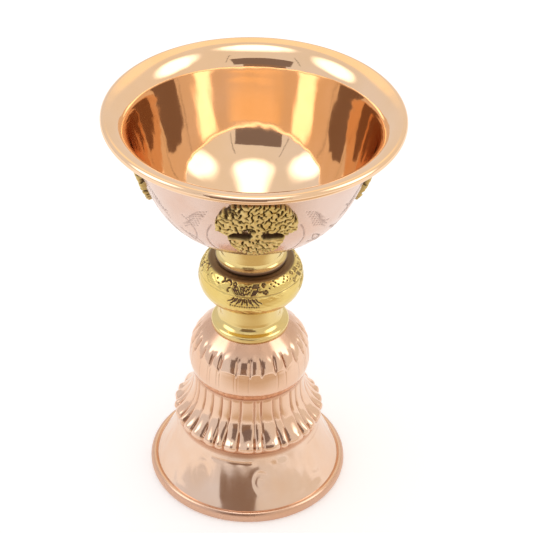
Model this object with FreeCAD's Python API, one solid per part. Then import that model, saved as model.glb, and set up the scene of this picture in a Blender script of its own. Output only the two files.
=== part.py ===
import FreeCAD, Part
import math
import os
from FreeCAD import Vector

# Footed butter lamp: a flared copper bowl that unscrews from a brass stem on a three-tier copper foot.
# Millimetres. The lamp's axis is Z and its foot stands on Z = 0. Radii are measured from the axis.

# ---- driving dimensions -------------------------------------------------------------------------
sheet = 0.6                 # copper sheet of the bowl
foot_sheet = 0.8            # copper sheet of the three foot tiers

rim_bead_centre = (38.9, 118.8)
rim_bead_radius = 1.2
rim_roll_start, rim_roll_end = 104.0, -165.0
bowl_seat_radius, bowl_seat_height = 8.65, 80.5
bowl_wall_points = [(10.3, 81.95), (14.05, 84.55), (17.8, 86.95), (21.6, 89.7), (24.75, 93.0),
                    (27.2, 97.0), (29.05, 101.15), (30.55, 105.35), (31.9, 109.65), (33.25, 113.95)]
bowl_lip_points = [(34.03, 115.93), (35.29, 117.64), (36.96, 118.92)]

medallion_radius = 10.6
medallion_thickness = 1.5
medallion_wall_radius = 30.2    # where the medallion's centre sits on the bowl wall
medallion_height = 104.3
medallion_lean = 18.8           # degrees that the bowl wall leans out there
tree_crown_low, tree_root_top = -0.9, -3.0
tree_root_pull = 2.8            # the roots' curve is pulled this far past the crown's radius
tree_trunk_half, tree_root_half = 1.6, 7.7
medallion_names = ["front", "right", "back", "left"]
medallion_angles = [-90.0, 0.0, 90.0, 180.0]

collar_radius = 8.65
collar_flange_radius = 9.85
collar_flange_top, collar_flare_top = 75.05, 76.3
thread_runout = 7.0         # the threaded hole goes on this far past the stud's end
knob_top, knob_bottom = 73.99, 61.81
knob_ring_radius = 9.68     # radius at which the knob's oval section is centred
knob_depth = 4.82           # how far the oval stands out from there
spigot_radius = 5.5
running_clearance = 0.06
seat_clearance = 0.05

stud_radius = 3.0
stud_bottom, stud_top = 43.2, 68.0
thread_clearance = 0.05
spigot_end = 60.0
retaining_ring_radius = 6.9
retaining_step_radius = 4.6
retaining_ring_thickness = 1.4
retaining_ring_clearance = 0.3

wick_tube_radius, wick_bore_radius = 2.4, 1.5
wick_tube_bottom, wick_tube_top = 76.8, 83.6

lower_collar_radius = 8.4
lower_flange_radius = 10.9
lower_flange_top, lower_fillet_top = 53.0, 55.6
lower_flange_chamfer = 0.2
recess_depth_below_spigot = 2.0
foot_top = 51.45            # where the stem's flange sits on the foot
bulb_seam = (15.7, 35.1)
skirt_seam = (19.6, 18.4)
neck_height = 2.2           # each tier's neck stands this far up inside the tier above
skirt_neck_step, bell_neck_step = 0.85, 1.0
bell_inside_drop = 0.3

washer_radius, washer_thickness = 9.0, 1.3
nut_across_flats, nut_height = 10.0, 5.0

foot_bead_centre = (27.3, 1.72)
foot_bead_half_width, foot_bead_half_height = 1.15, 1.77
foot_roll_sheet = 0.55
foot_roll_start, foot_roll_end = 118.0, -172.0

os.makedirs("parts", exist_ok=True)


# ---- helpers ------------------------------------------------------------------------------------
def at(radius, height):
    """A point of a half section, which lies in the XZ plane."""
    return Vector(radius, 0, height)


def line(start, end):
    return Part.LineSegment(at(*start), at(*end)).toShape()


def lines(points):
    return [line(a, b) for a, b in zip(points, points[1:])]


def smooth(points):
    """One smooth curve through the points."""
    curve = Part.BSplineCurve()
    curve.interpolate([at(*p) for p in points])
    return curve


def beside(curve, distance, count=14):
    """Points at a constant distance from a curve, on the right of its direction of travel."""
    points = []
    for index in range(count):
        span = curve.LastParameter - curve.FirstParameter
        u = curve.FirstParameter + span * index / (count - 1)
        place = curve.value(u)
        along = curve.tangent(u)[0]
        points.append((place.x + along.z * distance, place.z - along.x * distance))
    return points


def oval_point(centre, half_width, half_height, degrees):
    turn = math.radians(degrees)
    return (centre[0] + half_width * math.cos(turn), centre[1] + half_height * math.sin(turn))


def oval_arc(centre, half_width, half_height, start, end, count=13):
    """Part of an oval, from the start angle to the end angle, in degrees."""
    step = (end - start) / (count - 1)
    points = [oval_point(centre, half_width, half_height, start + step * k) for k in range(count)]
    return smooth(points).toShape()


def ring(edges):
    """The solid that a closed outline makes as it turns about the lamp's axis."""
    outline = Part.Wire(Part.__sortEdges__(edges))
    solid = Part.Face(outline).revolve(Vector(0, 0, 0), Vector(0, 0, 1), 360)
    if solid.Volume < 0:
        solid.reverse()
    return solid


def rod(radius, bottom, top):
    return Part.makeCylinder(radius, top - bottom, Vector(0, 0, bottom))


def tube(outer_radius, inner_radius, bottom, top):
    return rod(outer_radius, bottom, top).cut(rod(inner_radius, bottom, top))


def save(shape, node):
    """Write the one solid of a shape as a STEP file."""
    solid = shape.Solids[0]
    assert len(shape.Solids) == 1 and solid.isValid() and solid.Volume > 0, node
    solid.exportStep("parts/" + node + ".step")
    print(node, round(solid.Volume, 1))


# ---- bowl ---------------------------------------------------------------------------------------
def bowl_outside():
    """Outside of the bowl, from the seat on the collar up the wall and out under the flared lip."""
    lip_end = oval_point(rim_bead_centre, rim_bead_radius - sheet, rim_bead_radius - sheet, rim_roll_start)
    seat = (bowl_seat_radius, bowl_seat_height)
    return smooth([seat] + bowl_wall_points + bowl_lip_points + [lip_end])


def make_bowl():
    """Thin bowl: flat seat, round bottom, steep wall, flared lip and an edge rolled over the rim wire."""
    outside = bowl_outside()
    bead = rim_bead_radius
    hollow = rim_bead_radius - sheet
    inside = beside(outside, -sheet, 40)
    inside[-1] = oval_point(rim_bead_centre, bead, bead, rim_roll_start)
    edges = [outside.toShape(), smooth(inside).toShape()]
    edges.append(oval_arc(rim_bead_centre, bead, bead, rim_roll_start, rim_roll_end))
    edges.append(oval_arc(rim_bead_centre, hollow, hollow, rim_roll_start, rim_roll_end))
    edges.append(line(oval_point(rim_bead_centre, bead, bead, rim_roll_end),
                      oval_point(rim_bead_centre, hollow, hollow, rim_roll_end)))
    floor_top = bowl_seat_height + sheet
    edges += lines([(bowl_seat_radius, bowl_seat_height), (wick_tube_radius, bowl_seat_height),
                    (wick_tube_radius, floor_top), inside[0]])
    return ring(edges)


def make_rim_wire():
    wire_radius = rim_bead_radius - sheet
    return Part.makeTorus(rim_bead_centre[0], wire_radius, Vector(0, 0, rim_bead_centre[1]))


def tree_outline():
    """Flat outline of the cast tree: round crown, short trunk and a half round of roots."""
    crown_half = math.sqrt(medallion_radius ** 2 - tree_crown_low ** 2)
    crown = Part.Arc(Vector(crown_half, tree_crown_low, 0), Vector(0, medallion_radius, 0),
                     Vector(-crown_half, tree_crown_low, 0)).toShape()
    roots = Part.BezierCurve()
    root_low = -medallion_radius - tree_root_pull
    root_pull = tree_root_half - 0.6
    roots.setPoles([Vector(-tree_root_half, tree_root_top, 0), Vector(-root_pull, root_low, 0),
                    Vector(root_pull, root_low, 0), Vector(tree_root_half, tree_root_top, 0)])
    edges = [crown, roots.toShape()]
    for side in (-1, 1):
        corners = [(side * crown_half, tree_crown_low), (side * tree_trunk_half, tree_crown_low),
                   (side * tree_trunk_half, tree_root_top), (side * tree_root_half, tree_root_top)]
        for a, b in zip(corners, corners[1:]):
            edges.append(Part.LineSegment(Vector(*a, 0), Vector(*b, 0)).toShape())
    return Part.Face(Part.Wire(Part.__sortEdges__(edges)))


def make_medallion(angle):
    """The tree, cut from a band that follows the bowl's wall."""
    outside = bowl_outside()
    skin = beside(outside, medallion_thickness, 40)
    band = ring([outside.toShape(), smooth(skin).toShape(),
                 line((bowl_seat_radius, bowl_seat_height), skin[0]),
                 Part.LineSegment(outside.value(outside.LastParameter), at(*skin[-1])).toShape()])
    half_depth = 6.0
    tree = tree_outline().extrude(Vector(0, 0, 2 * half_depth))
    tree.rotate(Vector(0, 0, 0), Vector(1, 0, 0), 90.0 + medallion_lean)
    tree.rotate(Vector(0, 0, 0), Vector(0, 0, 1), 90.0)
    inward = math.radians(medallion_lean)
    tree.translate(Vector(medallion_wall_radius - half_depth * math.cos(inward), 0,
                          medallion_height + half_depth * math.sin(inward)))
    medallion = band.common(tree)
    medallion.rotate(Vector(0, 0, 0), Vector(0, 0, 1), angle)
    return medallion


def make_wick_tube():
    return tube(wick_tube_radius, wick_bore_radius, wick_tube_bottom, wick_tube_top)


# ---- stem ---------------------------------------------------------------------------------------
def make_upper_collar():
    """Turned brass boss under the bowl, with the spigot that carries the knob."""
    thread_top = stud_top + thread_runout
    bore = stud_radius + thread_clearance
    step = spigot_end + retaining_ring_thickness + retaining_ring_clearance
    flare = smooth([(collar_flange_radius, collar_flange_top), (9.0, 75.35),
                    (collar_radius, collar_flare_top)])
    edges = lines([(0, thread_top), (bore, thread_top), (bore, spigot_end),
                   (retaining_step_radius, spigot_end), (retaining_step_radius, step),
                   (spigot_radius, step), (spigot_radius, knob_top), (collar_flange_radius, knob_top),
                   (collar_flange_radius, collar_flange_top)])
    edges.append(flare.toShape())
    edges += lines([(collar_radius, collar_flare_top), (collar_radius, bowl_seat_height),
                    (wick_tube_radius, bowl_seat_height), (wick_tube_radius, wick_tube_bottom),
                    (0, wick_tube_bottom), (0, thread_top)])
    return ring(edges)


def make_retaining_ring():
    bottom = spigot_end + retaining_ring_clearance
    return tube(retaining_ring_radius, retaining_step_radius, bottom, bottom + retaining_ring_thickness)


def make_knob():
    """Oval brass bead that runs on the spigot."""
    middle = (knob_top + knob_bottom) / 2
    half_height = (knob_top - knob_bottom) / 2
    bore = spigot_radius + running_clearance
    edges = lines([(knob_ring_radius, knob_top), (bore, knob_top), (bore, knob_bottom),
                   (knob_ring_radius, knob_bottom)])
    edges.append(oval_arc((knob_ring_radius, middle), knob_depth, half_height, -90.0, 90.0))
    return ring(edges)


def make_lower_collar():
    """Turned brass collar with a flange, threaded on the stud and recessed for the retaining ring."""
    top = knob_bottom - seat_clearance
    recess_floor = spigot_end - recess_depth_below_spigot
    recess_radius = retaining_ring_radius + retaining_ring_clearance
    face_radius = lower_flange_radius - lower_flange_chamfer
    fillet = smooth([(lower_collar_radius, lower_fillet_top), (8.75, 54.3), (9.75, 53.35),
                     (face_radius, lower_flange_top)])
    edges = lines([(face_radius, lower_flange_top),
                   (lower_flange_radius, lower_flange_top - lower_flange_chamfer),
                   (lower_flange_radius, foot_top), (stud_radius, foot_top),
                   (stud_radius, recess_floor), (recess_radius, recess_floor), (recess_radius, top),
                   (lower_collar_radius, top), (lower_collar_radius, lower_fillet_top)])
    edges.append(fillet.toShape())
    return ring(edges)


def make_stem_stud():
    return rod(stud_radius, stud_bottom, stud_top)


def make_base_washer():
    top = foot_top - foot_sheet
    return tube(washer_radius, stud_radius, top - washer_thickness, top)


def make_base_nut():
    top = foot_top - foot_sheet - washer_thickness
    corner = nut_across_flats / math.sqrt(3)
    corners = [Vector(corner * math.cos(math.radians(60 * k)), corner * math.sin(math.radians(60 * k)),
                      top - nut_height) for k in range(7)]
    hexagon = Part.Face(Part.makePolygon(corners)).extrude(Vector(0, 0, nut_height))
    return hexagon.cut(rod(stud_radius, top - nut_height, top))


# ---- foot ---------------------------------------------------------------------------------------
def make_bulb():
    """Top tier: a flat seat for the stem's flange, then a bulb down to the first seam."""
    outside = smooth([(lower_flange_radius, foot_top), (13.0, 49.6), (15.2, 47.1), (16.45, 44.6),
                      (17.0, 41.5), (16.9, 38.2), bulb_seam])
    inside = beside(outside, foot_sheet, 18)
    under_seat = foot_top - foot_sheet
    inside[0] = (inside[0][0], under_seat)
    edges = lines([(lower_flange_radius, foot_top), (stud_radius, foot_top),
                   (stud_radius, under_seat), inside[0]])
    edges += [outside.toShape(), smooth(inside).toShape(), line(inside[-1], bulb_seam)]
    return ring(edges)


def neck(seam, depth):
    """Corners of a tier's neck and shoulder: up the inside, across the top and out to the seam."""
    shoulder = seam[0] - depth
    return [(shoulder - foot_sheet, seam[1]), (shoulder - foot_sheet, seam[1] + neck_height),
            (shoulder, seam[1] + neck_height), (shoulder, seam[1]), seam]


def make_skirt():
    """Middle tier: near-vertical top that flares like petals and turns under at the second seam."""
    outside = smooth([bulb_seam, (15.85, 32.6), (16.35, 30.0), (18.4, 26.1), (20.35, 22.6),
                      (21.0, 20.5), (20.7, 19.1), skirt_seam])
    inside = beside(outside, foot_sheet, 24)
    corners = neck(bulb_seam, skirt_neck_step)
    edges = lines(corners) + [outside.toShape(), smooth(inside).toShape()]
    edges += [line(inside[-1], skirt_seam), line(inside[0], corners[0])]
    return ring(edges)


def foot_roll():
    """Outside and inside of the rolled edge, and the cut end between them."""
    outer = (foot_bead_half_width, foot_bead_half_height)
    inner = (foot_bead_half_width - foot_roll_sheet, foot_bead_half_height - foot_roll_sheet)
    cut_end = line(oval_point(foot_bead_centre, *outer, foot_roll_end),
                   oval_point(foot_bead_centre, *inner, foot_roll_end))
    return [oval_arc(foot_bead_centre, *outer, foot_roll_start, foot_roll_end),
            oval_arc(foot_bead_centre, *inner, foot_roll_start, foot_roll_end), cut_end]


def make_bell_foot():
    """Bottom tier: a cone whose edge is rolled over the foot wire and ground flat underneath."""
    meets = oval_point(foot_bead_centre, foot_bead_half_width, foot_bead_half_height, foot_roll_start)
    meets_inside = oval_point(foot_bead_centre, foot_bead_half_width - foot_roll_sheet,
                              foot_bead_half_height - foot_roll_sheet, foot_roll_start)
    inside_top = (skirt_seam[0] - skirt_neck_step, skirt_seam[1] - bell_inside_drop)
    outside = smooth([skirt_seam, (22.75, 10.9), meets])
    inside = smooth([inside_top, (21.95, 10.6), meets_inside])
    corners = neck(skirt_seam, bell_neck_step)
    corners[0] = (corners[0][0], inside_top[1])
    edges = lines(corners) + [outside.toShape(), inside.toShape(), line(inside_top, corners[0])]
    edges += foot_roll()
    below_floor = rod(40.0, -5.0, 0.0)
    return ring(edges).cut(below_floor)


def make_foot_wire():
    half_width = foot_bead_half_width - foot_roll_sheet
    half_height = foot_bead_half_height - foot_roll_sheet
    return ring([oval_arc(foot_bead_centre, half_width, half_height, 0.0, 180.0),
                 oval_arc(foot_bead_centre, half_width, half_height, 180.0, 360.0)])


save(make_bowl(), "bowl")
save(make_rim_wire(), "rim_wire")
for name, angle in zip(medallion_names, medallion_angles):
    save(make_medallion(angle), "tree_medallion_" + name)
save(make_wick_tube(), "wick_tube")
save(make_upper_collar(), "upper_collar")
save(make_retaining_ring(), "retaining_ring")
save(make_knob(), "knob")
save(make_lower_collar(), "lower_collar")
save(make_stem_stud(), "stem_stud")
save(make_base_washer(), "base_washer")
save(make_base_nut(), "base_nut")
save(make_bulb(), "fluted_bulb")
save(make_skirt(), "lotus_skirt")
save(make_bell_foot(), "bell_foot")
save(make_foot_wire(), "foot_wire")
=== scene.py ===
import math

import bpy
import numpy as np
from mathutils import Matrix, Vector


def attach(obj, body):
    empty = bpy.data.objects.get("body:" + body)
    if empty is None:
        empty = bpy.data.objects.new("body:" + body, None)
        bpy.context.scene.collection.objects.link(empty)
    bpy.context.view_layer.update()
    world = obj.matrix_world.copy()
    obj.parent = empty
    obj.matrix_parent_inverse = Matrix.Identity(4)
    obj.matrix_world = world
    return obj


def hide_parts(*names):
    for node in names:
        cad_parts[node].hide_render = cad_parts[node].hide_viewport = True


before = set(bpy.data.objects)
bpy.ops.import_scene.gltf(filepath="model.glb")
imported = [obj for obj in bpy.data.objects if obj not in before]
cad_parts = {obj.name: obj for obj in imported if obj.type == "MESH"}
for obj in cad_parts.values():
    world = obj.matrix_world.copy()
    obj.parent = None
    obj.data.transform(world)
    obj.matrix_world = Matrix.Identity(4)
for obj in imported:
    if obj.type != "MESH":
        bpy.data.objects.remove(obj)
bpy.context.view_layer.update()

# A footed butter lamp. Its axis is Z and its foot stands on Z = 0. Shapes below are in millimetres and
# turned into metres when a mesh is made. A section's points are (radius, height). An angle of -90 degrees
# is the front, where the first medallion sits.
MM = 0.001
TAU = 2 * math.pi
EIGHTH = TAU / 8

# bowl
SHEET = 0.6
BEAD_CENTRE, BEAD_RADIUS = (38.9, 118.8), 1.2
ROLL_START, ROLL_END = 104.0, -165.0
WICK_TUBE_RADIUS, WICK_BORE_RADIUS = 2.4, 1.5
MEDALLION_RADIUS, MEDALLION_HEIGHT = 10.6, 104.3
MEDALLION_BACK = -0.34      # the medallion's plain back lies this deep in the sheet
GRID_SPACING = 0.13         # between the points of the medallion's relief
WALL_RADIUS = 30.5          # of the bowl's wall behind a medallion

# stem
STUD_RADIUS, STUD_BOTTOM, STUD_TOP = 2.97, 43.2, 68.0
STUD_HOLE, THREAD_PITCH, THREAD_DEPTH = 3.02, 1.0, 0.5
SPIGOT_RADIUS, SPIGOT_TIP_RADIUS, SPIGOT_END = 5.5, 4.62, 60.0
KNOB_RING_RADIUS, KNOB_MIDDLE = 9.68, 67.9
KNOB_DEPTH, KNOB_HALF_HEIGHT = 4.82, 6.09
KNOB_BORE, KNOB_BOTTOM, KNOB_TOP = 5.56, 61.83, 73.95
KNOB_BELT_RADIUS = 14.2     # turns angles on the knob's belt into millimetres
KNOB_GROOVE = 70.2          # height of the line between the knob's two belts

# foot
FOOT_SHEET = 0.8
FOOT_BEAD_CENTRE, FOOT_BEAD_SIZE = (27.3, 1.72), (1.15, 1.77)
FOOT_BEAD_SHEET = 0.55
FOOT_ROLL_START, FOOT_ROLL_END = 118.0, -172.0
BULB_SEAM, SKIRT_SEAM = (15.7, 35.1), (19.6, 18.4)


# ---- curves -------------------------------------------------------------------------------------
def smooth_path(points, count):
    """Points evenly spaced along one smooth curve through the given ones (a natural cubic spline)."""
    p = np.array(points, float)
    t = np.r_[0, np.cumsum(np.hypot(*np.diff(p, axis=0).T))]
    n = len(t)
    gap = np.diff(t)
    system = np.eye(n)
    rhs = np.zeros((n, 2))
    for i in range(1, n - 1):
        system[i, i - 1:i + 2] = gap[i - 1], 2 * (gap[i - 1] + gap[i]), gap[i]
        rhs[i] = 6 * ((p[i + 1] - p[i]) / gap[i] - (p[i] - p[i - 1]) / gap[i - 1])
    bend = np.linalg.solve(system, rhs)
    at = np.linspace(0, t[-1], count)
    k = np.clip(np.searchsorted(t, at) - 1, 0, n - 2)
    a = ((t[k + 1] - at) / gap[k])[:, None]
    b = ((at - t[k]) / gap[k])[:, None]
    h = (gap[k] ** 2 / 6)[:, None]
    return a * p[k] + b * p[k + 1] + h * ((a ** 3 - a) * bend[k] + (b ** 3 - b) * bend[k + 1])


def beside(path, distance):
    """The path moved sideways, to the right of its direction of travel."""
    along = np.gradient(path, axis=0)
    along /= np.hypot(*along.T)[:, None]
    return path + distance * np.column_stack([along[:, 1], -along[:, 0]])


def oval(centre, half_width, half_height, start, end, count):
    turn = np.radians(np.linspace(start, end, count))
    return np.column_stack([centre[0] + half_width * np.cos(turn), centre[1] + half_height * np.sin(turn)])


def smoothstep(low, high, x):
    t = np.clip((x - low) / (high - low), 0, 1)
    return t * t * (3 - 2 * t)


def bowl_outside(count):
    """Outside of the bowl: from the seat on the collar up the wall and out under the flared lip."""
    turn = math.radians(ROLL_START)
    hollow = BEAD_RADIUS - SHEET
    lip_end = (BEAD_CENTRE[0] + hollow * math.cos(turn), BEAD_CENTRE[1] + hollow * math.sin(turn))
    seat_and_bottom = [(8.65, 80.5), (10.3, 81.95), (14.05, 84.55), (17.8, 86.95), (21.6, 89.7)]
    wall = [(24.75, 93.0), (27.2, 97.0), (29.05, 101.15), (30.55, 105.35), (31.9, 109.65), (33.25, 113.95)]
    lip = [(34.03, 115.93), (35.29, 117.64), (36.96, 118.92), lip_end]
    return smooth_path(seat_and_bottom + wall + lip, count)


# ---- meshes -------------------------------------------------------------------------------------
def new_object(name, vertices, faces, tone, sharp_above):
    """A smooth mesh with edges sharp above an angle. Its tone says how dark each point is: tarnish in some
    places, painted shade and reflection in others.
    """
    mesh = bpy.data.meshes.new(name)
    mesh.from_pydata((np.asarray(vertices) * MM).tolist(), [], faces)
    mesh.update()
    mesh.polygons.foreach_set("use_smooth", [True] * len(mesh.polygons))
    mesh.set_sharp_from_angle(angle=math.radians(sharp_above))
    layer = mesh.attributes.new("tone", "FLOAT", "POINT")
    layer.data.foreach_set("value", np.asarray(tone, np.float32).ravel())
    piece = bpy.data.objects.new(name, mesh)
    bpy.context.scene.collection.objects.link(piece)
    return piece


def ring_faces(segments, rows, closed_rows=True):
    """Quads of a grid that closes around the axis and, for a closed section, also from last row to first."""
    faces = []
    last = rows if closed_rows else rows - 1
    for i in range(segments):
        here, there = i * rows, ((i + 1) % segments) * rows
        for k in range(last):
            n = (k + 1) % rows
            faces.append((here + k, there + k, there + n, here + n))
    return faces


def around(segments):
    """Angles of the lathe's steps, as a column."""
    return (np.arange(segments) * TAU / segments)[:, None]


def turned(radius, angle, height):
    """Points from their radius, angle and height."""
    return np.stack([radius * np.cos(angle), radius * np.sin(angle), height], axis=-1).reshape(-1, 3)


def lathe(name, parts, segments, relief, sharp_above):
    """A closed section turned about the axis. relief(angle, radius, height) gives the height of the
    surface detail on the first part of the section and how dark it is."""
    section = np.vstack(parts)
    keep = np.hypot(*(section - np.roll(section, 1, axis=0)).T) > 1e-6
    detailed = np.zeros(len(section), bool)
    detailed[:len(parts[0])] = True
    section, detailed = section[keep], detailed[keep]
    ahead, behind = np.roll(section, -1, axis=0), np.roll(section, 1, axis=0)
    area = np.sum(behind[:, 0] * section[:, 1] - section[:, 0] * behind[:, 1])
    if area < 0:
        section, detailed = section[::-1], detailed[::-1]
        ahead, behind = np.roll(section, -1, axis=0), np.roll(section, 1, axis=0)
    along = ahead - behind
    along /= np.maximum(np.hypot(*along.T), 1e-9)[:, None]
    normal = np.column_stack([along[:, 1], -along[:, 0]])
    angle = around(segments)
    radius = np.repeat(section[None, :, 0], segments, axis=0)
    height = np.repeat(section[None, :, 1], segments, axis=0)
    tone = np.zeros_like(radius)
    if relief:
        lift, dark = relief(angle, radius[:, detailed], height[:, detailed])
        radius[:, detailed] += lift * normal[detailed, 0]
        height[:, detailed] += lift * normal[detailed, 1]
        tone[:, detailed] = dark
    faces = ring_faces(segments, len(section))
    return new_object(name, turned(radius, angle, height), faces, tone, sharp_above)


def wobble(angle, seed, waves, size):
    """A slow irregular wave around the axis."""
    rng = np.random.default_rng(seed)
    total = np.zeros_like(angle)
    for count in waves:
        total = total + rng.uniform(0.4, 1.0) * np.sin(count * angle + rng.uniform(0, TAU))
    return total * size / len(waves)


def uneven_bounds(count, seed, spread):
    """Angles of the grooves between hand-chased flutes, unevenly spaced."""
    rng = np.random.default_rng(seed)
    return np.sort((np.arange(count) + rng.uniform(-spread, spread, count)) * TAU / count)


def flutes(angle, bounds):
    """For each angle: which flute it is on, how far across that flute, and the flute's width."""
    a = np.mod(angle - bounds[0], TAU) + bounds[0]
    index = np.clip(np.searchsorted(bounds, a, side="right") - 1, 0, len(bounds) - 1)
    ends = np.r_[bounds[1:], bounds[0] + TAU]
    width = ends[index] - bounds[index]
    return index, (a - bounds[index]) / width, width


def distance_to_lines(points, polylines):
    """Least distance from each point to any of the polylines, and that line's own strength there."""
    nearest = np.full(len(points), 99.0)
    for line, strength in polylines:
        p = np.asarray(line, float)
        for a, b in zip(p[:-1], p[1:]):
            along = b - a
            t = np.clip(((points - a) @ along) / max(along @ along, 1e-9), 0, 1)
            gap = np.hypot(*(points - a - t[:, None] * along).T)
            nearest = np.minimum(nearest, gap / strength)
    return nearest


# ---- bowl ---------------------------------------------------------------------------------------
def arc_line(x0, y0, radius, start, end, count=9):
    turn = np.radians(np.linspace(start, end, count))
    return np.column_stack([x0 + radius * np.cos(turn), y0 + radius * np.sin(turn)])


def leaf(x, y, length, turn, bulge):
    """Outline of a leaf: two arcs that meet at both ends."""
    t = np.linspace(0, 1, 9)
    turn = math.radians(turn)
    rotate = np.array([[math.cos(turn), math.sin(turn)], [-math.sin(turn), math.cos(turn)]])
    arcs = [np.column_stack([t * length, side * bulge * np.sin(math.pi * t)]) for side in (1.0, -0.8)]
    return [(arc @ rotate + (x, y), 1.0) for arc in arcs]


def spiral(x, y, size, start, turns):
    t = np.linspace(0, 1, 22)
    turn = math.radians(start) + t * turns * TAU
    return np.column_stack([x + size * (1 - 0.8 * t) * np.cos(turn), y + size * (1 - 0.8 * t) * np.sin(turn)])


def engraving(side):
    """Loose arcs, leaf outlines and hatching of one eighth of the bowl, which differ on a medallion's two
    sides. x is the way round from the medallion's middle and y the distance up the wall, in millimetres."""
    lines = [(arc_line(1.0, 27.0, 12.4, -46, -6, 9), 1.0), (arc_line(0.4, 26.0, 12.9, 2, 30, 6), 0.9)]
    if side:
        lines += [(arc_line(24.0, 26.0, 7.5, 120, 210, 8), 0.8), (arc_line(14.0, 31.5, 4.0, 10, 95, 7), 0.7),
                  (arc_line(22.0, 17.5, 3.4, 100, 200, 7), 0.7)]
        lines += leaf(15.0, 19.5, 6.5, 48, 1.1)
    else:
        lines += [(arc_line(13.5, 15.0, 3.0, 60, 150, 6), 0.8), (arc_line(21.0, 34.5, 4.2, 180, 265, 8), 0.8),
                  (arc_line(9.5, 10.5, 9.0, 5, 48, 8), 0.7)]
        lines += leaf(16.5, 25.5, 6.5, -62, 1.2) + leaf(15.2, 22.0, 4.5, -8, 0.8)
    for k in range(7):
        start = np.array([12.6 + 0.5 * k, 37.4 - 1.15 * k])
        lines.append((np.array([start, start + (2.6, -1.1), start + (4.4 + 0.4 * (k % 3), -2.9)]), 0.6))
        if side:
            start = np.array([18.2 + 0.7 * k, 22.6 + 0.45 * k])
            lines.append((np.array([start, start + (1.6, 1.4 + 0.4 * (k % 2))]), 0.55))
        else:
            start = np.array([12.6 + 0.55 * k, 8.6 + 0.95 * k])
            lines.append((np.array([start, start + (1.0, -1.3)]), 0.5))
    return lines


def engraved(angle, radius, height):
    """Fine cut lines, the same round every medallion."""
    segments, rows = radius.shape
    up = np.r_[0, np.cumsum(np.hypot(np.diff(radius[0]), np.diff(height[0])))]
    if height[0, -1] < height[0, 0]:
        up = up[-1] - up
    from_medallion = np.mod(angle[:, 0] + TAU / 4 + EIGHTH, TAU / 4) - EIGHTH
    across = np.abs(from_medallion)[:, None] * (radius * 0.55 + 30.0 * 0.45)
    points = np.dstack([across, np.repeat(up[None, :], segments, axis=0)])
    side_of = np.floor(angle[:, 0] / EIGHTH).astype(int) % 2
    gap = np.empty((segments, rows))
    for side in (0, 1):
        here = side_of == side
        gap[here] = distance_to_lines(points[here].reshape(-1, 2), engraving(side)).reshape(-1, rows)
    cut = np.exp(-(gap / 0.22) ** 2)
    cut *= smoothstep(0.5, 3.0, up)[None, :] * (1 - smoothstep(38.5, 39.5, up))[None, :]
    cut *= 0.7 + 0.3 * np.sin(2.1 * across + 1.3 * up[None, :] + np.floor(angle / EIGHTH + 0.5)) ** 2
    return -0.12 * cut, 0.7 * cut


def bowl_shell():
    """Outer half of the sheet, which carries the engraving."""
    outside = bowl_outside(126)
    middle = beside(bowl_outside(10), -SHEET * 0.5)[::-1]
    seat = np.array([(WICK_TUBE_RADIUS, middle[-1][1]), (WICK_TUBE_RADIUS, outside[0][1])])
    return lathe("bowl_shell", [outside, middle, seat], segments=720, relief=engraved, sharp_above=70.0)


def hammered(angle, radius, height):
    """The faint unevenness that spinning leaves in the sheet, and a steeper stretch of wall under the lip."""
    ripple = wobble(angle + 0.004 * height, 3, [5, 9, 14, 22], 0.035)
    ripple = ripple + wobble(angle - 0.011 * height, 5, [31, 43, 57], 0.012)
    ripple = ripple + 0.0018 * np.sin(2.3 * height + wobble(angle, 9, [4, 7, 11], 2.5))
    steeper = 0.080 * smoothstep(111.1, 115.2, height) * (1 - smoothstep(114.9, 119.0, height))
    inward = radius < BEAD_CENTRE[0] - 1.0
    return ripple * smoothstep(84, 96, height) + steeper * inward, np.zeros_like(radius)


def bowl_liner():
    """Mirror inside of the bowl, the flared lip and the edge rolled over its wire."""
    outside = bowl_outside(180)
    inside = beside(outside, -SHEET)
    bead = oval(BEAD_CENTRE, BEAD_RADIUS, BEAD_RADIUS, ROLL_START, ROLL_END, 44)
    hollow = BEAD_RADIUS - SHEET
    roll_inside = oval(BEAD_CENTRE, hollow, hollow, ROLL_END, ROLL_START, 28)
    middle = beside(outside, -SHEET * 0.5)[::-6]
    floor = np.array([(WICK_TUBE_RADIUS, middle[-1][1]), (WICK_TUBE_RADIUS, inside[0][1])])
    section = [inside[:-1], bead, roll_inside, middle[1:], floor]
    return lathe("bowl_liner", section, segments=352, relief=hammered, sharp_above=50.0)


# ---- medallions ---------------------------------------------------------------------------------
def strokes(area, spacing, heading, seed):
    """Short bent strokes strewn evenly over an area. area(x, y) gives 0 outside, otherwise how wide the
    stroke is; heading(x, y) the way it runs, in degrees."""
    rng = np.random.default_rng(seed)
    placed, lines = [], []
    for x, y in rng.uniform(-MEDALLION_RADIUS, MEDALLION_RADIUS, (4000, 2)):
        width = area(x, y)
        if width == 0 or (placed and np.hypot(*((np.array(placed) - (x, y)) / (1.0, 1.3)).T).min() < spacing):
            continue
        placed.append((x, y))
        length, bend = rng.uniform(0.6, 1.5), rng.uniform(-1.5, 1.5)
        turn = math.radians(heading(x, y) + rng.uniform(-55, 55))
        t = np.linspace(-0.5, 0.5, 5)
        along, aside = length * t, bend * length * (0.25 - t ** 2)
        line = np.column_stack([x + along * math.cos(turn) - aside * math.sin(turn),
                                y + 1.25 * (along * math.sin(turn) + aside * math.cos(turn))])
        lines.append((line, width * rng.uniform(0.13, 0.21)))
    return lines


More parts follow.
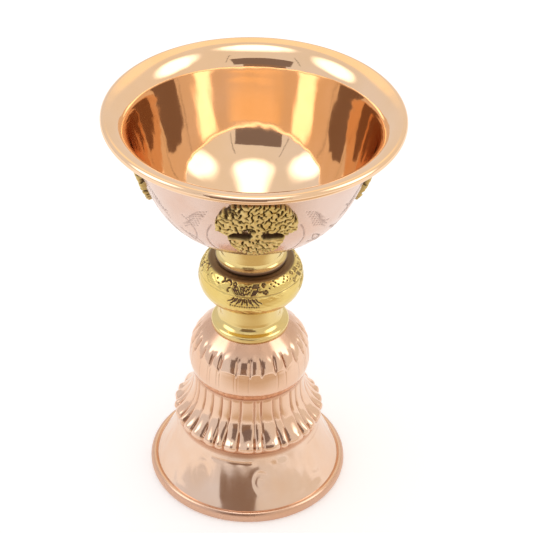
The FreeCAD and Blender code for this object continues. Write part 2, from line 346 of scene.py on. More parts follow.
def tree_cuts():
    """Recesses of the casting: strokes that fan out from the trunk, deeper at the crown's upper left."""
    def leafy(x, y):
        trunk = abs(x - 0.1) < 0.9 and y < 1.5 or math.hypot(x + 1.9, y + 0.1) < 1.7
        low = -0.4 - 1.4 * math.exp(-((abs(x) - 7.9) / 1.8) ** 2)
        return 0 if trunk or y < low else 1 + 1.2 * math.exp(-((x + 7.6) ** 2 + (y - 7.4) ** 2) / 7)

    def rooty(x, y):
        return 1 if y < -4.1 and abs(x) < 7.0 else 0

    crown = strokes(leafy, 0.98, lambda x, y: math.degrees(math.atan2(y + 3.5, x)), 6)
    roots = strokes(rooty, 1.05, lambda x, y: math.degrees(math.atan2(y + 2.0, x)) * 0.5, 9)
    bark = [(arc_line(0.4, -1.9, 0.35, 100, 260), 0.16), (arc_line(-0.3, -3.6, 0.4, -80, 80), 0.17),
            (arc_line(0.5, -5.2, 0.45, 120, 280), 0.17), (arc_line(0.2, 0.6, 0.4, -60, 110), 0.15)]
    curl = [(arc_line(-1.9, -0.3, size, 0, 215), 0.19) for size in (0.5, 1.0, 1.5)]
    return crown + roots + bark + curl


def medallion_relief(x, y):
    """Height of the casting above the bowl's wall, how dark it is, and where it has metal. The cut strokes
    carry patina; the outline and the slot between crown and roots carry painted shade.
    """
    rim = MEDALLION_RADIUS + wobble(np.arctan2(y, x), 8, [7, 11, 17, 29], 0.35)
    lobes = 1.5 * np.exp(-((np.abs(x) - 7.9) / 2.0) ** 2)
    crown = np.minimum(rim - np.hypot(x, y), y + 0.9 + lobes + 0.2 * np.cos(1.7 * x))
    level = np.clip(1 + (y + 3.0) / 7.8, 0, 1)
    half = np.sqrt(level) * (11.1 - 3.4 * level) + wobble(y, 3, [2, 3, 5], 0.2)
    roots = np.minimum(half - np.abs(x), -3.0 - y)
    trunk = np.minimum(1.35 + 0.5 * np.exp(-((y + 3.1) / 0.5) ** 2) + 0.4 * np.exp(-((y + 0.8) / 0.4) ** 2)
                       - np.abs(x - 0.1), np.minimum(0.6 - y, y + 4.5))
    inside = np.maximum(np.maximum(crown, roots), trunk)
    points = np.column_stack([x.ravel(), y.ravel()])
    groove = 1 - smoothstep(0.55, 1.65, distance_to_lines(points, tree_cuts()).reshape(x.shape))
    swell = wobble(1.9 * x + 1.1 * y, 5, [1, 2], 0.10) + wobble(1.5 * y - 1.3 * x, 6, [1, 2], 0.10)
    lip = 0.18 * np.exp(-((roots - 0.45) / 0.35) ** 2)
    top = 1.32 + swell + lip - 0.8 * groove
    height = -0.28 + (top + 0.28) * smoothstep(-0.12, 0.36, inside)
    # The slot between crown and roots is darkened with painted shade.
    slot = (1 - smoothstep(0.05, 0.4, inside)) * (1 - smoothstep(6.8, 7.6, np.abs(x)))
    slot = slot * smoothstep(-3.6, -3.3, y) * (1 - smoothstep(-0.9, 0.3, y))
    # Patina in the cut strokes, painted shade along the outline and in the slot.
    dark = np.clip(1.1 * groove + 0.4 * (1 - smoothstep(0.0, 0.4, inside)) + slot, 0, 1)
    return height, dark, inside > -0.16


def wall_beside_medallion(up):
    """Radius and height of the bowl's wall, and the two parts of its outward direction, at distances up the
    wall from the medallion's middle."""
    wall = bowl_outside(400)
    along = np.r_[0, np.cumsum(np.hypot(*np.diff(wall, axis=0).T))]
    middle = np.interp(MEDALLION_HEIGHT, wall[:, 1], along)
    place = np.clip(middle + up, 0, along[-1])
    slope = np.gradient(wall, axis=0)
    slope /= np.hypot(*slope.T)[:, None]
    return [np.interp(place, along, values) for values in (wall[:, 0], wall[:, 1], slope[:, 1], -slope[:, 0])]


def front_back_and_edge(used):
    """Quads on the used part of a grid, on an equal grid behind it, and on the edge that joins them."""
    count, total = used.shape[1], used.size
    rows, columns = np.nonzero(used[:-1, :-1] & used[1:, :-1] & used[:-1, 1:] & used[1:, 1:])
    corners = (rows * count + columns).tolist()
    faces = [(c, c + 1, c + count + 1, c + count) for c in corners]
    faces += [(c + total, c + count + total, c + count + 1 + total, c + 1 + total) for c in corners]
    sides = {}
    for c in corners:
        for a, b in ((c, c + 1), (c + 1, c + count + 1), (c + count + 1, c + count), (c + count, c)):
            sides[(a, b)] = (b, a, a + total, b + total)
    return faces + [quad for (a, b), quad in sides.items() if (b, a) not in sides]


def medallion(name, turn):
    """A cast tree that hugs the bowl's wall: a relief grid on top, closed by a plain back in the sheet."""
    count = int(2 * (MEDALLION_RADIUS + 0.9) / GRID_SPACING)
    line = (np.arange(count) - (count - 1) / 2) * GRID_SPACING
    y, x = np.meshgrid(line, line, indexing="ij")
    lift, dark, used = medallion_relief(x, y)
    radius, level, outward, upward = wall_beside_medallion(y)
    angle = math.radians(turn) + x / WALL_RADIUS
    front = turned(radius + lift * outward, angle, level + lift * upward)
    back = turned(radius + MEDALLION_BACK * outward, angle, level + MEDALLION_BACK * upward)
    # The back is fully dark, so the edge walls carry painted shade as well.
    vertices, tone = np.vstack([front, back]), np.r_[dark.ravel(), np.ones(used.size)]
    faces = np.array(front_back_and_edge(used))
    kept = np.unique(faces)
    renumber = np.zeros(len(vertices), int)
    renumber[kept] = np.arange(len(kept))
    return new_object(name, vertices[kept], renumber[faces].tolist(), tone[kept], sharp_above=60.0)


# ---- stem ---------------------------------------------------------------------------------------
def rounded(points, radius):
    """A polyline with each inner corner eased by a small arc."""
    p = [np.array(q, float) for q in points]
    out = [p[0]]
    for a, b, c in zip(p, p[1:], p[2:]):
        before, after = a - b, c - b
        cut = min(radius, 0.45 * np.hypot(*before), 0.45 * np.hypot(*after))
        start, end = b + before / np.hypot(*before) * cut, b + after / np.hypot(*after) * cut
        for t in np.linspace(0, 1, 4):
            out.append((1 - t) ** 2 * start + 2 * t * (1 - t) * b + t ** 2 * end)
    out.append(p[-1])
    return np.array(out)


def darkened_flange_edge(angle, radius, height):
    """Darkens the flange's edge beside the knob."""
    beside_bead = smoothstep(73.9, 74.2, height) * (1 - smoothstep(74.9, 75.3, height))
    return 0 * angle, 0.85 * smoothstep(9.3, 9.7, radius) * beside_bead


def upper_collar():
    top = 80.5
    outline = [(WICK_TUBE_RADIUS, top), (8.63, top), (8.63, 78.4), (8.6, 76.6), (8.85, 75.7), (9.35, 75.25),
               (9.85, 75.05), (9.85, 74.05), (SPIGOT_RADIUS, 74.05), (SPIGOT_RADIUS, 61.7),
               (SPIGOT_TIP_RADIUS, 61.7), (SPIGOT_TIP_RADIUS, SPIGOT_END), (3.06, SPIGOT_END), (3.06, 75.0),
               (1.0, 75.0), (1.0, 76.8), (WICK_TUBE_RADIUS, 76.8), (WICK_TUBE_RADIUS, top)]
    section = [rounded(outline, 0.16)]
    return lathe("upper_collar_turned", section, segments=192, relief=darkened_flange_edge, sharp_above=50.0)


def chasing():
    """Scrolls, scales, dots and a fan of rays on one quarter of the bead, as (points, half width). x runs
    round the bead and y up it, in millimetres from the groove between its two belts."""
    lines = [([(-7.2, 3.8), (-6.9, 3.1), (-7.4, 2.6)], 0.2), (arc_line(-5.4, 2.9, 0.9, -20, 170), 0.17),
             (arc_line(-3.3, 3.1, 0.5, 0, 330), 0.15), (arc_line(-2.8, 1.9, 0.6, 60, 330), 0.15),
             (spiral(5.5, 3.0, 0.7, 20, 1.1), 0.15), (spiral(5.9, 1.2, 0.8, 160, 1.1), 0.16),
             (arc_line(4.3, 2.0, 0.7, 100, 300), 0.14), (arc_line(-4.6, 1.2, 0.6, 80, 250), 0.14)]
    for k in range(4):
        lines.append(([(1.7 + 0.4 * k, 0.3 + 0.1 * k), (2.5 + 0.4 * k, 1.8)], 0.13))
    scales = ((-0.7, 0.5), (0.4, 0.4), (1.3, 0.9), (-0.2, 1.3),
              (0.8, 1.7), (-0.9, 2.2), (0.2, 2.5), (1.5, 2.5))
    for x, y in scales:
        lines.append((arc_line(x, y, 0.42, 20 + 30 * x, 175 + 20 * y), 0.13))
    for k in range(5):
        lines.append(([(-2.4 + 0.5 * k, 0.3), (-3.8 + 0.75 * k, 1.7 + 0.25 * k)], 0.13))
        lines.append(([(2.0 + 0.4 * k, 2.5), (2.5 + 0.4 * k, 3.5)], 0.12))
    dots = ((7.8, 3.0), (8.6, 2.2), (9.4, 3.1), (10.2, 2.4),
            (8.9, 3.7), (7.1, 2.0), (-8.6, 1.9), (-9.7, 3.0))
    for x, y in dots:
        lines.append(([(x, y), (x + 0.12, y - 0.1)], 0.15))
    rng = np.random.default_rng(23)
    for k in range(13):
        x, low = 0.72 * (k - 6), 2.0 + 0.75 * (k % 2) + rng.uniform(-0.15, 0.15)
        ray = [(0.7 * x, -0.7 - 0.2 * (k % 2)), (0.82 * x, -0.5 * low - 0.5), (1.05 * x, -low)]
        lines.append((ray, 0.15))
        lines.append(([(0.9 * x, -3.3), (0.9 * x, -3.4)], rng.uniform(0.12, 0.2)))
    return lines


def chased_knob(angle, radius, height):
    """Chasing, cut deepest at the middle of each quarter and worn away between, a groove between the two
    belts, and a darkened shoulder under the flange."""
    quarter = TAU / 4
    from_front = angle[:, 0] + quarter + 0.15
    number = np.floor(from_front / quarter + 0.5).astype(int) % 4
    local = (from_front + quarter / 2) % quarter - quarter / 2
    local = np.where(number % 2 == 1, -local, local)
    up = np.r_[0, np.cumsum(np.hypot(np.diff(radius[0]), np.diff(height[0])))]
    up = up - np.interp(KNOB_GROOVE, height[0], up)
    x = np.repeat((local * KNOB_BELT_RADIUS)[:, None], len(up), axis=1)
    y = np.repeat(up[None, :], len(local), axis=0)
    near = distance_to_lines(np.column_stack([x.ravel(), y.ravel()]), chasing()).reshape(x.shape)
    cut = (1 - smoothstep(0.6, 2.0, near)) * np.array([1.0, 0.7, 0.85, 0.75])[number][:, None]
    line = np.exp(-((up - wobble(angle, 4, [3, 8], 0.08)) / 0.16) ** 2)
    line = line * (0.35 + 0.65 * smoothstep(3.0, 6.5, x))
    dimple = wobble(5 * angle + 0.7 * up, 33, [3, 5, 8], 0.035)
    dimple = dimple + wobble(4 * angle - 1.9 * up, 37, [2, 7], 0.03)
    lift = dimple * smoothstep(10.8, 12.4, radius) - 0.34 * cut - 0.16 * line
    shoulder = smoothstep(73.1, 73.5, height)
    return lift, np.clip(1.1 * cut + 0.6 * line + 0.85 * shoulder, 0, 1)


def knob():
    """Oval bead: a narrow smooth shoulder at each end and a chased belt between."""
    belt = oval((KNOB_RING_RADIUS, KNOB_MIDDLE), KNOB_DEPTH, KNOB_HALF_HEIGHT, -72, 70, 120)
    edge = [(10.75, 73.62), (10.2, 73.75), (9.0, KNOB_TOP), (KNOB_BORE, KNOB_TOP)]
    shoulder = rounded([belt[-1], *edge], 0.2)
    under = rounded([(KNOB_BORE, KNOB_BOTTOM), (10.3, KNOB_BOTTOM), belt[0]], 0.3)
    bore = np.array([(KNOB_BORE, KNOB_TOP), (KNOB_BORE, KNOB_BOTTOM)])
    face = np.vstack([belt, shoulder[1:]])
    section = [face, bore[1:], under[1:-1]]
    return lathe("knob_chased", section, segments=640, relief=chased_knob, sharp_above=70.0)


def lower_collar():
    outline = [(7.2, 61.76), (8.4, 61.76), (8.4, 57.5), (8.4, 55.8), (8.55, 54.9), (8.95, 54.15), (9.6, 53.6),
               (10.5, 53.15), (10.88, 52.75), (10.88, 51.46), (STUD_HOLE, 51.46), (STUD_HOLE, 58.0),
               (7.2, 58.0), (7.2, 61.76)]
    section = [rounded(outline, 0.22)]
    return lathe("lower_collar_turned", section, segments=192, relief=None, sharp_above=50.0)


def plain_ring(name, bore, outer, bottom, top, easing, segments):
    """A ring between two radii and two heights, with its corners eased."""
    outline = [(bore, bottom), (bore, top), (outer, top), (outer, bottom), (bore, bottom)]
    return lathe(name, [rounded(outline, easing)], segments, relief=None, sharp_above=50.0)


def wick_tube():
    return plain_ring("wick_tube_turned", WICK_BORE_RADIUS, WICK_TUBE_RADIUS, bottom=76.85, top=83.6,
                      easing=0.18, segments=96)


def retaining_ring():
    return plain_ring("retaining_ring_turned", SPIGOT_TIP_RADIUS, 6.9, bottom=60.3, top=61.68,
                      easing=0.2, segments=128)


def stem_stud():
    """Rod with a helical thread and chamfered ends."""
    segments, bottom, top = 72, STUD_BOTTOM, STUD_TOP
    rows = int((top - bottom) / 0.1) + 1
    height = np.linspace(bottom, top, rows)[None, :]
    angle = around(segments)
    phase = np.mod(height / THREAD_PITCH - angle / TAU, 1.0)
    tooth = np.abs(phase - 0.5) * 2
    from_end = np.minimum(height - bottom, top - height)
    ends = smoothstep(-0.2, 1.0, from_end)
    radius = STUD_RADIUS - THREAD_DEPTH * np.clip(1.15 * tooth - 0.08, 0, 1) - 0.45 * (1 - ends)
    vertices = turned(radius, angle, height + 0 * angle)
    faces = ring_faces(segments, rows, False)
    base = len(vertices)
    vertices = np.vstack([vertices, [(0, 0, bottom), (0, 0, top)]])
    for i in range(segments):
        j = (i + 1) % segments
        faces.append((base, j * rows, i * rows))
        faces.append((base + 1, i * rows + rows - 1, j * rows + rows - 1))
    return new_object("stem_stud_threaded", vertices, faces, np.zeros(len(vertices)), sharp_above=40.0)


def base_washer():
    return plain_ring("base_washer_turned", 3.05, 9.0, bottom=49.36, top=50.64, easing=0.2, segments=128)


def base_nut():
    """Hexagon nut with its corners turned off at both faces."""
    flat, cone, bottom, top = 5.0, 5.15, 44.36, 49.34
    corner, lead_in, steepness, segments = cone + 0.62, 0.4, 0.58, 144
    angle = around(segments)
    hexagon = flat / np.cos(np.mod(angle + TAU / 12, TAU / 6) - TAU / 12)
    rows = [(STUD_HOLE + lead_in, bottom), (cone, bottom), (corner, bottom), (corner, top), (cone, top),
            (STUD_HOLE + lead_in, top), (STUD_HOLE, top - lead_in), (STUD_HOLE, bottom + lead_in)]
    radius = np.hstack([np.minimum(r + 0 * angle, hexagon) for r, _ in rows])
    height = np.hstack([z + 0 * angle for _, z in rows])
    height[:, 2] = bottom + np.clip(radius[:, 2] - cone, 0, 1) * steepness
    height[:, 3] = top - np.clip(radius[:, 3] - cone, 0, 1) * steepness
    vertices = turned(radius, angle, height)
    faces = [f[::-1] for f in ring_faces(segments, len(rows))]
    return new_object("base_nut_hex", vertices, faces, np.zeros(len(vertices)), sharp_above=25.0)


# ---- foot ---------------------------------------------------------------------------------------
def bulb_petals(angle, radius, height):
    """Scooped flutes with pointed tops under the smooth shoulder, fine uneven lines, and a plain band; darker
    at the waist, with painted shade and reflection on the shoulder under the collar.
    """
    bounds = uneven_bounds(27, 31, 0.22)
    index, across, width = flutes(angle, bounds)
    rng = np.random.default_rng(5)
    top = 49.4 + rng.uniform(-0.5, 0.4, len(bounds))[index]
    strength = rng.uniform(0.45, 1.15, len(bounds))[index]
    side = np.minimum(across, 1 - across) * width * radius
    point = top - 1.0 * (2 * across - 1) ** 2
    upper = smoothstep(43.4, 45.6, height) * (1 - smoothstep(point - 1.5, point + 0.2, height))
    groove = np.exp(-(side / 0.42) ** 2) * upper * strength
    scoop = (np.sin(math.pi * across) - 0.4) * upper * (0.6 + 0.4 * strength)
    lower = (1 - smoothstep(43.6, 44.8, height)) * smoothstep(37.6, 39.4 + strength, height)
    pair = np.abs(side - 0.55 * strength)
    fine = np.exp(-(pair / 0.16) ** 2) * lower * (strength > 0.62)
    ledge = np.exp(-((height - 44.6) / 0.5) ** 2)
    dents = wobble(angle + 0.01 * height, 44, [6, 11, 17, 23], 0.10)
    lift = 0.30 * scoop - 0.34 * groove + 0.07 * ledge * strength - 0.08 * fine + dents
    dark = np.clip(0.45 * groove + 0.30 * fine, 0, 1) + 0.8 * (1 - smoothstep(35.3, 36.3, height))
    # The shoulder under the collar is darkened: painted shade and reflection of the dark parts above.
    return lift, dark + 0.42 * smoothstep(47.2, 50.6, height)


def fluted_bulb():
    shoulder = [(10.9, 51.45), (13.0, 49.6), (15.2, 47.1), (16.45, 44.6)]
    outside = smooth_path([*shoulder, (17.0, 41.5), (16.9, 38.2), BULB_SEAM], 96)
    inside = beside(outside[::6], FOOT_SHEET)[::-1]
    inside[-1] = (inside[-1][0], 50.65)
    seat = np.array([(STUD_HOLE, 50.65), (STUD_HOLE, 51.45)])
    section = [outside, inside, seat]
    return lathe("fluted_bulb_chased", section, segments=720, relief=bulb_petals, sharp_above=70.0)


def skirt_petals(angle, radius, height):
    """Straight flutes that open into blades with plump uneven tips and a scalloped lower edge."""
    bounds = uneven_bounds(33, 77, 0.26)
    lean = wobble(angle, 12, [3, 7, 13], 0.07)
    index, across, width = flutes(angle + lean * np.clip((30.0 - height) / 10.0, 0, 1), bounds)
    rng = np.random.default_rng(15)
    strength = rng.uniform(0.5, 1.25, len(bounds))[index]
    twist = rng.uniform(-1, 1, len(bounds))[index]
    plump = rng.uniform(0.3, 1.2, len(bounds))[index]
    side = np.minimum(across, 1 - across) * width * radius
    straight = smoothstep(25.0, 28.5, height) * (1 - smoothstep(34.0, 34.9, height))
    tip = (1 - smoothstep(23.0, 27.5, height)) * smoothstep(19.3, 20.6, height)
    groove = np.exp(-(side / 0.34) ** 2) * strength
    swell = np.sin(math.pi * across) ** 0.9
    blob = np.exp(-((across - 0.5 - 0.15 * twist) / 0.2) ** 2 - ((height - 21.9) / 0.9) ** 2) * plump
    lift = straight * (0.12 * swell - 0.30 * groove) + 0.25 * blob
    lift = lift + tip * (0.40 * swell - 0.32 * groove + 0.50 * twist * (across - 0.5) - 0.12)
    # Under the tips the skirt is darkened: painted shade and copper reflection under the skirt.
    dark = 0.6 * groove * (straight + 0.5 * tip) + 0.75 * (1 - smoothstep(19.6, 20.5, height))
    return lift, np.clip(dark + 0.5 * smoothstep(33.9, 34.9, height), 0, 1)


def lotus_skirt():
    outside = smooth_path([BULB_SEAM, (15.8, 32.6), (16.1, 30.0), (16.95, 27.2), (18.5, 24.5), (20.2, 22.5),
                           (21.0, 21.6), (21.15, 20.9), (20.6, 19.7), SKIRT_SEAM], 110)
    inside = beside(outside[::6], FOOT_SHEET * 0.75)[::-1]
    neck = np.array([(14.05, 35.1), (14.05, 37.3), (14.85, 37.3), (14.85, 35.1)])
    section = [outside, inside, neck]
    return lathe("lotus_skirt_chased", section, segments=740, relief=skirt_petals, sharp_above=70.0)


def embossed(angle, radius, height):
    """Eight faint worn rounds on the cone, uneven upright flats, and a line round the top; the groove
    above it is darkened with painted shade and copper reflection under the skirt, and the rolled edge is
    oxidised."""
    local = np.mod(angle + TAU / 4 + 0.25, EIGHTH) - EIGHTH / 2
    x, y = local * radius, height - 10.6
    ring = np.hypot(x, 0.85 * y)
    rounds = np.exp(-((ring - 2.9) / 0.6) ** 2) + 0.8 * np.exp(-((ring - 1.1) / 0.5) ** 2)
    rounds = rounds * (0.4 + 0.6 * np.sin(1.5 * angle + 0.4) ** 2)
    band = smoothstep(4.2, 6.4, height) * (1 - smoothstep(14.6, 16.6, height))
    flats = wobble(angle + 0.012 * height, 40, [9, 13, 19, 27], 0.17) + wobble(angle, 41, [37, 52], 0.03)
    top_line = np.exp(-((height - 15.9) / 0.2) ** 2) * (wobble(angle, 2, [2, 3, 5], 1.5) > 0.1)
    lift = band * (0.055 * rounds + flats) - 0.06 * top_line
    rolled = smoothstep(0.0, 1.2, radius - 26.2) * (1 - smoothstep(3.0, 4.0, height))
    # Painted shade and copper reflection in the groove under the skirt.
    return lift, np.clip(0.25 * top_line + 0.5 * rolled + 0.7 * smoothstep(16.9, 17.9, height), 0, 1)


def bell_foot():
    """Cone with an edge rolled over the foot wire; the roll stands on the floor."""
    bead = oval(FOOT_BEAD_CENTRE, *FOOT_BEAD_SIZE, FOOT_ROLL_START, FOOT_ROLL_END, 44)
    bead[:, 1] = np.maximum(bead[:, 1], 0.0)
    hollow_size = (FOOT_BEAD_SIZE[0] - FOOT_BEAD_SHEET, FOOT_BEAD_SIZE[1] - FOOT_BEAD_SHEET)
    hollow = oval(FOOT_BEAD_CENTRE, *hollow_size, FOOT_ROLL_END, FOOT_ROLL_START, 30)
    outside = smooth_path([SKIRT_SEAM, (22.75, 10.9), bead[0]], 70)
    inside = smooth_path([hollow[-1], (21.95, 10.6), (SKIRT_SEAM[0] - 0.85, SKIRT_SEAM[1] - 0.3)], 20)
    neck = np.array([(17.8, 18.1), (17.8, 20.6), (18.6, 20.6), (18.6, 18.4)])
    face = np.vstack([outside, bead[1:]])
    section = [face, hollow, inside[1:], neck]
    return lathe("bell_foot_chased", section, segments=590, relief=embossed, sharp_above=50.0)


# ---- materials ----------------------------------------------------------------------------------
class Nodes:
    """A short way to write a node tree."""

    def __init__(self, name):
        self.material = bpy.data.materials.new(name)
        self.material.use_nodes = True
        self.tree = self.material.node_tree
        self.shader = self.tree.nodes["Principled BSDF"]

    def add(self, kind, values=None, **settings):
        node = self.tree.nodes.new(kind)
        for key, value in settings.items():
            setattr(node, key, value)
        for key, value in (values or {}).items():
            node.inputs[key].default_value = value
        return node

    def link(self, start, end):
        self.tree.links.new(start, end)

    def ramp(self, source, stops):
        node = self.add("ShaderNodeValToRGB")
        elements = node.color_ramp.elements
        while len(elements) < len(stops):
            elements.new(0.5)
        for element, (position, colour) in zip(elements, stops):
            element.position = position
            element.color = (*colour, 1.0)
        self.link(source, node.inputs["Fac"])
        return node.outputs["Color"]

    def noise(self, scale, detail=3.0, stretch=(1.0, 1.0, 1.0)):
        where = self.add("ShaderNodeTexCoord")
        mapping = self.add("ShaderNodeMapping")
        mapping.inputs["Scale"].default_value = stretch
        self.link(where.outputs["Object"], mapping.inputs["Vector"])
        node = self.add("ShaderNodeTexNoise", {"Scale": scale, "Detail": detail})
        self.link(mapping.outputs["Vector"], node.inputs["Vector"])
        return node.outputs["Fac"]

    def mix(self, factor, first, second):
        node = self.add("ShaderNodeMix", data_type="RGBA")
        self.put(factor, node.inputs[0])
        self.put(first, node.inputs[6])
        self.put(second, node.inputs[7])
        return node.outputs[2]

    def map(self, source, low, high):
        node = self.add("ShaderNodeMapRange", {"To Min": low, "To Max": high})
        self.link(source, node.inputs["Value"])
        return node.outputs["Result"]

    def put(self, value, socket):
        if isinstance(value, bpy.types.NodeSocket):
            self.link(value, socket)
        elif isinstance(value, tuple):
            socket.default_value = (*value, 1.0)
        else:
            socket.default_value = value


def metal(name, bright, warm, tarnish_and_shade, rough, scratch):
    """Polished metal: two close tones in soft clouds, fine rubbing marks, and a darker colour where tone is
    high: tarnish, and in places painted shade and reflection.
    """
    n = Nodes(name)
    clouds = n.noise(90.0, 4.0)
    colour = n.ramp(clouds, [(0.35, bright), (0.7, warm)])
    tone = n.add("ShaderNodeAttribute", attribute_name="tone")
    colour = n.mix(tone.outputs["Fac"], colour, tarnish_and_shade)
    n.link(colour, n.shader.inputs["Base Color"])
    n.shader.inputs["Metallic"].default_value = 1.0
    rub = n.noise(900.0, 2.0, (1.0, 1.0, 0.12))
    roughness = n.map(rub, rough * 0.75, rough * 1.35)
    add = n.add("ShaderNodeMath", operation="MULTIPLY_ADD")
    n.link(tone.outputs["Fac"], add.inputs[0])
    add.inputs[1].default_value = 0.3
    n.link(roughness, add.inputs[2])
    n.link(add.outputs["Value"], n.shader.inputs["Roughness"])
    bump = n.add("ShaderNodeBump", {"Strength": scratch, "Distance": 0.0002})
    n.link(rub, bump.inputs["Height"])
    n.link(bump.outputs["Normal"], n.shader.inputs["Normal"])
    return n.material


def floor_material():
    n = Nodes("floor_paper")
    shade = n.ramp(n.noise(3.0), [(0.3, (0.93, 0.93, 0.93)), (0.7, (0.95, 0.95, 0.95))])
    n.link(shade, n.shader.inputs["Base Color"])
    n.shader.inputs["Roughness"].default_value = 0.9
    n.shader.inputs["Emission Color"].default_value = (0.97, 0.99, 1.0, 1.0)
    n.shader.inputs["Emission Strength"].default_value = 0.30
    return n.material


# Each finish: the material's name, its two tones, its tarnish and painted shade colour, its roughness and the
# depth of its scratches.
FINISHES = {
    "bowl_mirror": ("copper_mirror", (0.92, 0.64, 0.42), (0.90, 0.61, 0.37), (0.40, 0.20, 0.14), 0.06, 0.015),
    "bowl_outside": ("copper_brushed", (0.76, 0.57, 0.48), (0.73, 0.5, 0.39), (0.16, 0.09, 0.08), 0.2, 0.05),
    "foot_copper": ("copper_chased", (0.83, 0.585, 0.43), (0.80, 0.52, 0.36), (0.50, 0.24, 0.13), 0.13, 0.03),
    "cone_copper": ("copper_cone", (0.82, 0.61, 0.48), (0.80, 0.55, 0.39), (0.54, 0.24, 0.12), 0.13, 0.03),
    "wire_copper": ("copper_wire", (0.86, 0.47, 0.31), (0.80, 0.42, 0.28), (0.3, 0.15, 0.1), 0.25, 0.03),
    "cast_brass": ("brass_cast", (0.78, 0.60, 0.26), (0.70, 0.52, 0.18), (0.12, 0.075, 0.04), 0.30, 0.08),
    "turned_brass": ("brass_turned", (0.79, 0.62, 0.28), (0.75, 0.56, 0.22), (0.16, 0.08, 0.08), 0.13, 0.03),
    "chased_brass": ("brass_chased", (0.80, 0.61, 0.22), (0.74, 0.54, 0.16), (0.13, 0.07, 0.05), 0.15, 0.05),
    "plain_steel": ("steel_plain", (0.62, 0.61, 0.59), (0.52, 0.51, 0.49), (0.2, 0.18, 0.16), 0.32, 0.06),
}
MATERIALS = {finish: metal(*values) for finish, values in FINISHES.items()}


# ---- putting the pieces on the frame --------------------------------------------------------------
def finish_piece(piece, node, body, material):
    piece.data.materials.append(MATERIALS[material])
    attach(piece, body)
    if node:
        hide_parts(node)


finish_piece(bowl_shell(), "bowl", "bowl_unit", "bowl_outside")
finish_piece(bowl_liner(), None, "bowl_unit", "bowl_mirror")
for name, turn in (("front", -90.0), ("right", 0.0), ("back", 90.0), ("left", 180.0)):
    tree = medallion("tree_" + name, turn)
    finish_piece(tree, "tree_medallion_" + name, "bowl_unit", "cast_brass")
finish_piece(wick_tube(), "wick_tube", "bowl_unit", "turned_brass")
finish_piece(upper_collar(), "upper_collar", "bowl_unit", "turned_brass")
finish_piece(retaining_ring(), "retaining_ring", "bowl_unit", "turned_brass")
finish_piece(knob(), "knob", "bead", "chased_brass")
finish_piece(lower_collar(), "lower_collar", "base", "turned_brass")
finish_piece(stem_stud(), "stem_stud", "base", "plain_steel")
finish_piece(base_washer(), "base_washer", "base", "plain_steel")
finish_piece(base_nut(), "base_nut", "base", "plain_steel")
finish_piece(fluted_bulb(), "fluted_bulb", "base", "foot_copper")
finish_piece(lotus_skirt(), "lotus_skirt", "base", "foot_copper")
finish_piece(bell_foot(), "bell_foot", "base", "cone_copper")
for wire in ("rim_wire", "foot_wire"):
    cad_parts[wire].data.materials.clear()
    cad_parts[wire].data.materials.append(MATERIALS["wire_copper"])


# ---- stage, light and camera --------------------------------------------------------------------
CAMERA_TURN = math.radians(2.2)


def panel(name, place, size, colour, strength, soft):
    """A flat glowing panel that only the metal sees: a lamp's diffuser, a dark thing in the room, or a warm
    patch that paints a reflection.
    A soft one fades out towards its edges."""
    bpy.ops.mesh.primitive_plane_add(size=1.0)
    board = bpy.context.object
    board.name = name
    board.matrix_world = place @ Matrix.Diagonal((size[0], size[1], 1.0, 1.0))
    n = Nodes(name + "_material")
    n.shader.inputs["Base Color"].default_value = (0, 0, 0, 1)
    n.shader.inputs["Specular IOR Level"].default_value = 0.0
    n.shader.inputs["Emission Color"].default_value = (*colour, 1.0)
    n.shader.inputs["Emission Strength"].default_value = strength
    if soft:
        where = n.add("ShaderNodeTexCoord")
        flat_and_centred = {1: (1.0, 1.0, 0.0), 2: (-0.5, -0.5, 0.0)}
        centred = n.add("ShaderNodeVectorMath", flat_and_centred, operation="MULTIPLY_ADD")
        n.link(where.outputs["Generated"], centred.inputs[0])
        away = n.add("ShaderNodeVectorMath", operation="LENGTH")
        n.link(centred.outputs["Vector"], away.inputs[0])
        fade = n.add("ShaderNodeMapRange", {"From Min": 0.22, "From Max": 0.5, "To Min": 1.0, "To Max": 0.0},
                     interpolation_type="SMOOTHSTEP")
        n.link(away.outputs["Value"], fade.inputs["Value"])
        n.link(fade.outputs["Result"], n.shader.inputs["Alpha"])
    board.data.materials.append(n.material)
    board.visible_camera = False
    board.visible_shadow = False
    board.visible_diffuse = False


def card(name, azimuth, elevation, distance, size, colour, strength, soft=False):
    """A panel that faces the bowl. Azimuth and elevation are in degrees, distance and size in metres.
    Azimuth 0 is the camera's side and grows to the right."""
    a, e = math.radians(azimuth) - CAMERA_TURN, math.radians(elevation)
    bowl = Vector((0, 0, 0.1))
    centre = bowl + distance * Vector((math.cos(e) * math.sin(a), -math.cos(e) * math.cos(a), math.sin(e)))
    aim = (bowl - centre).to_track_quat("Z", "Y").to_matrix().to_4x4()
    panel(name, Matrix.Translation(centre) @ aim, size, colour, strength, soft)


bpy.ops.mesh.primitive_plane_add(size=8.0)
floor = bpy.context.object
floor.name = "floor"
floor.data.materials.append(floor_material())

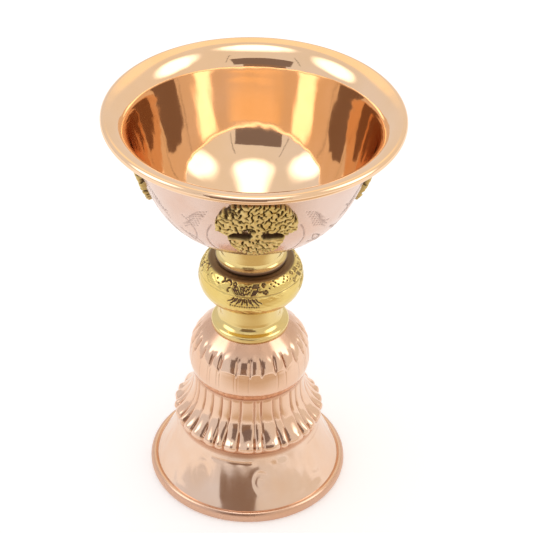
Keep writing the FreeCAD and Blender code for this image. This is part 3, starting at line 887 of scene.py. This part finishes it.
world = bpy.data.worlds.new("studio")
bpy.context.scene.world = world
world.use_nodes = True
sky = world.node_tree
direction = sky.nodes.new("ShaderNodeTexCoord")
parts = sky.nodes.new("ShaderNodeSeparateXYZ")
across = sky.nodes.new("ShaderNodeMapRange")
across.inputs["From Min"].default_value = -1.0
tint = sky.nodes.new("ShaderNodeValToRGB")
tint.color_ramp.elements[0].color = (0.84, 0.85, 0.90, 1.0)
tint.color_ramp.elements[1].color = (0.90, 0.84, 0.76, 1.0)
sky.links.new(direction.outputs["Generated"], parts.inputs["Vector"])
sky.links.new(parts.outputs["X"], across.inputs["Value"])
sky.links.new(across.outputs["Result"], tint.inputs["Fac"])
sky.links.new(tint.outputs["Color"], sky.nodes["Background"].inputs["Color"])
sky.nodes["Background"].inputs["Strength"].default_value = 1.0

distance, camera_height, pitch = 0.421157, 0.379924, 0.634
yaw, roll = math.radians(0.574) + CAMERA_TURN, math.radians(1.466)
forward = Vector((math.sin(yaw) * math.cos(pitch), math.cos(yaw) * math.cos(pitch), -math.sin(pitch)))
camera_data = bpy.data.cameras.new("camera")
camera = bpy.data.objects.new("camera", camera_data)
bpy.context.scene.collection.objects.link(camera)
camera_data.sensor_width = 36.0
camera_data.lens = 128.33
camera_data.clip_start = 0.01
aim = forward.to_track_quat("-Z", "Y").to_matrix().to_4x4()
stand = Vector((-distance * math.sin(CAMERA_TURN), -distance * math.cos(CAMERA_TURN), camera_height))
camera.matrix_world = Matrix.Translation(stand) @ aim @ Matrix.Rotation(roll, 4, "Z")
bpy.context.scene.camera = camera

dim, white, warm = (0.24, 0.19, 0.18), (1.0, 1.0, 1.0), (1.0, 0.88, 0.68)
card("camera_body", -6, 26, 0.50, (0.46, 0.24), dim, 1.0)
card("camera_stand", -9, 3, 0.50, (0.34, 0.17), (0.30, 0.21, 0.16), 1.0)
for side, azimuth in (("left", -82), ("right", 82)):
    card("softbox_" + side, azimuth, 38, 0.9, (0.64, 0.85), white, 2.6, True)
card("softbox_top", 0, 76, 0.9, (0.72, 0.62), white, 2.6, True)
card("softbox_back", 180, 52, 0.9, (1.7, 0.7), warm, 1.2, True)
for side in (-1, 1):
    card("seam_%d" % side, 34 * side - 7, 36, 0.6, (0.006, 0.3), dim, 0.5)
# A warm panel on the floor in front that only the metal sees: a painted warm reflection.
panel("warm_reflection_panel", Matrix.Translation((0.04, -0.18, 0.001)), (0.5, 0.34), (0.74, 0.59, 0.43), 1.0, True)

bpy.context.scene.view_settings.view_transform = "Standard"
bpy.context.scene.view_settings.exposure = 0.0
bpy.context.scene.cycles.glossy_bounces = 12
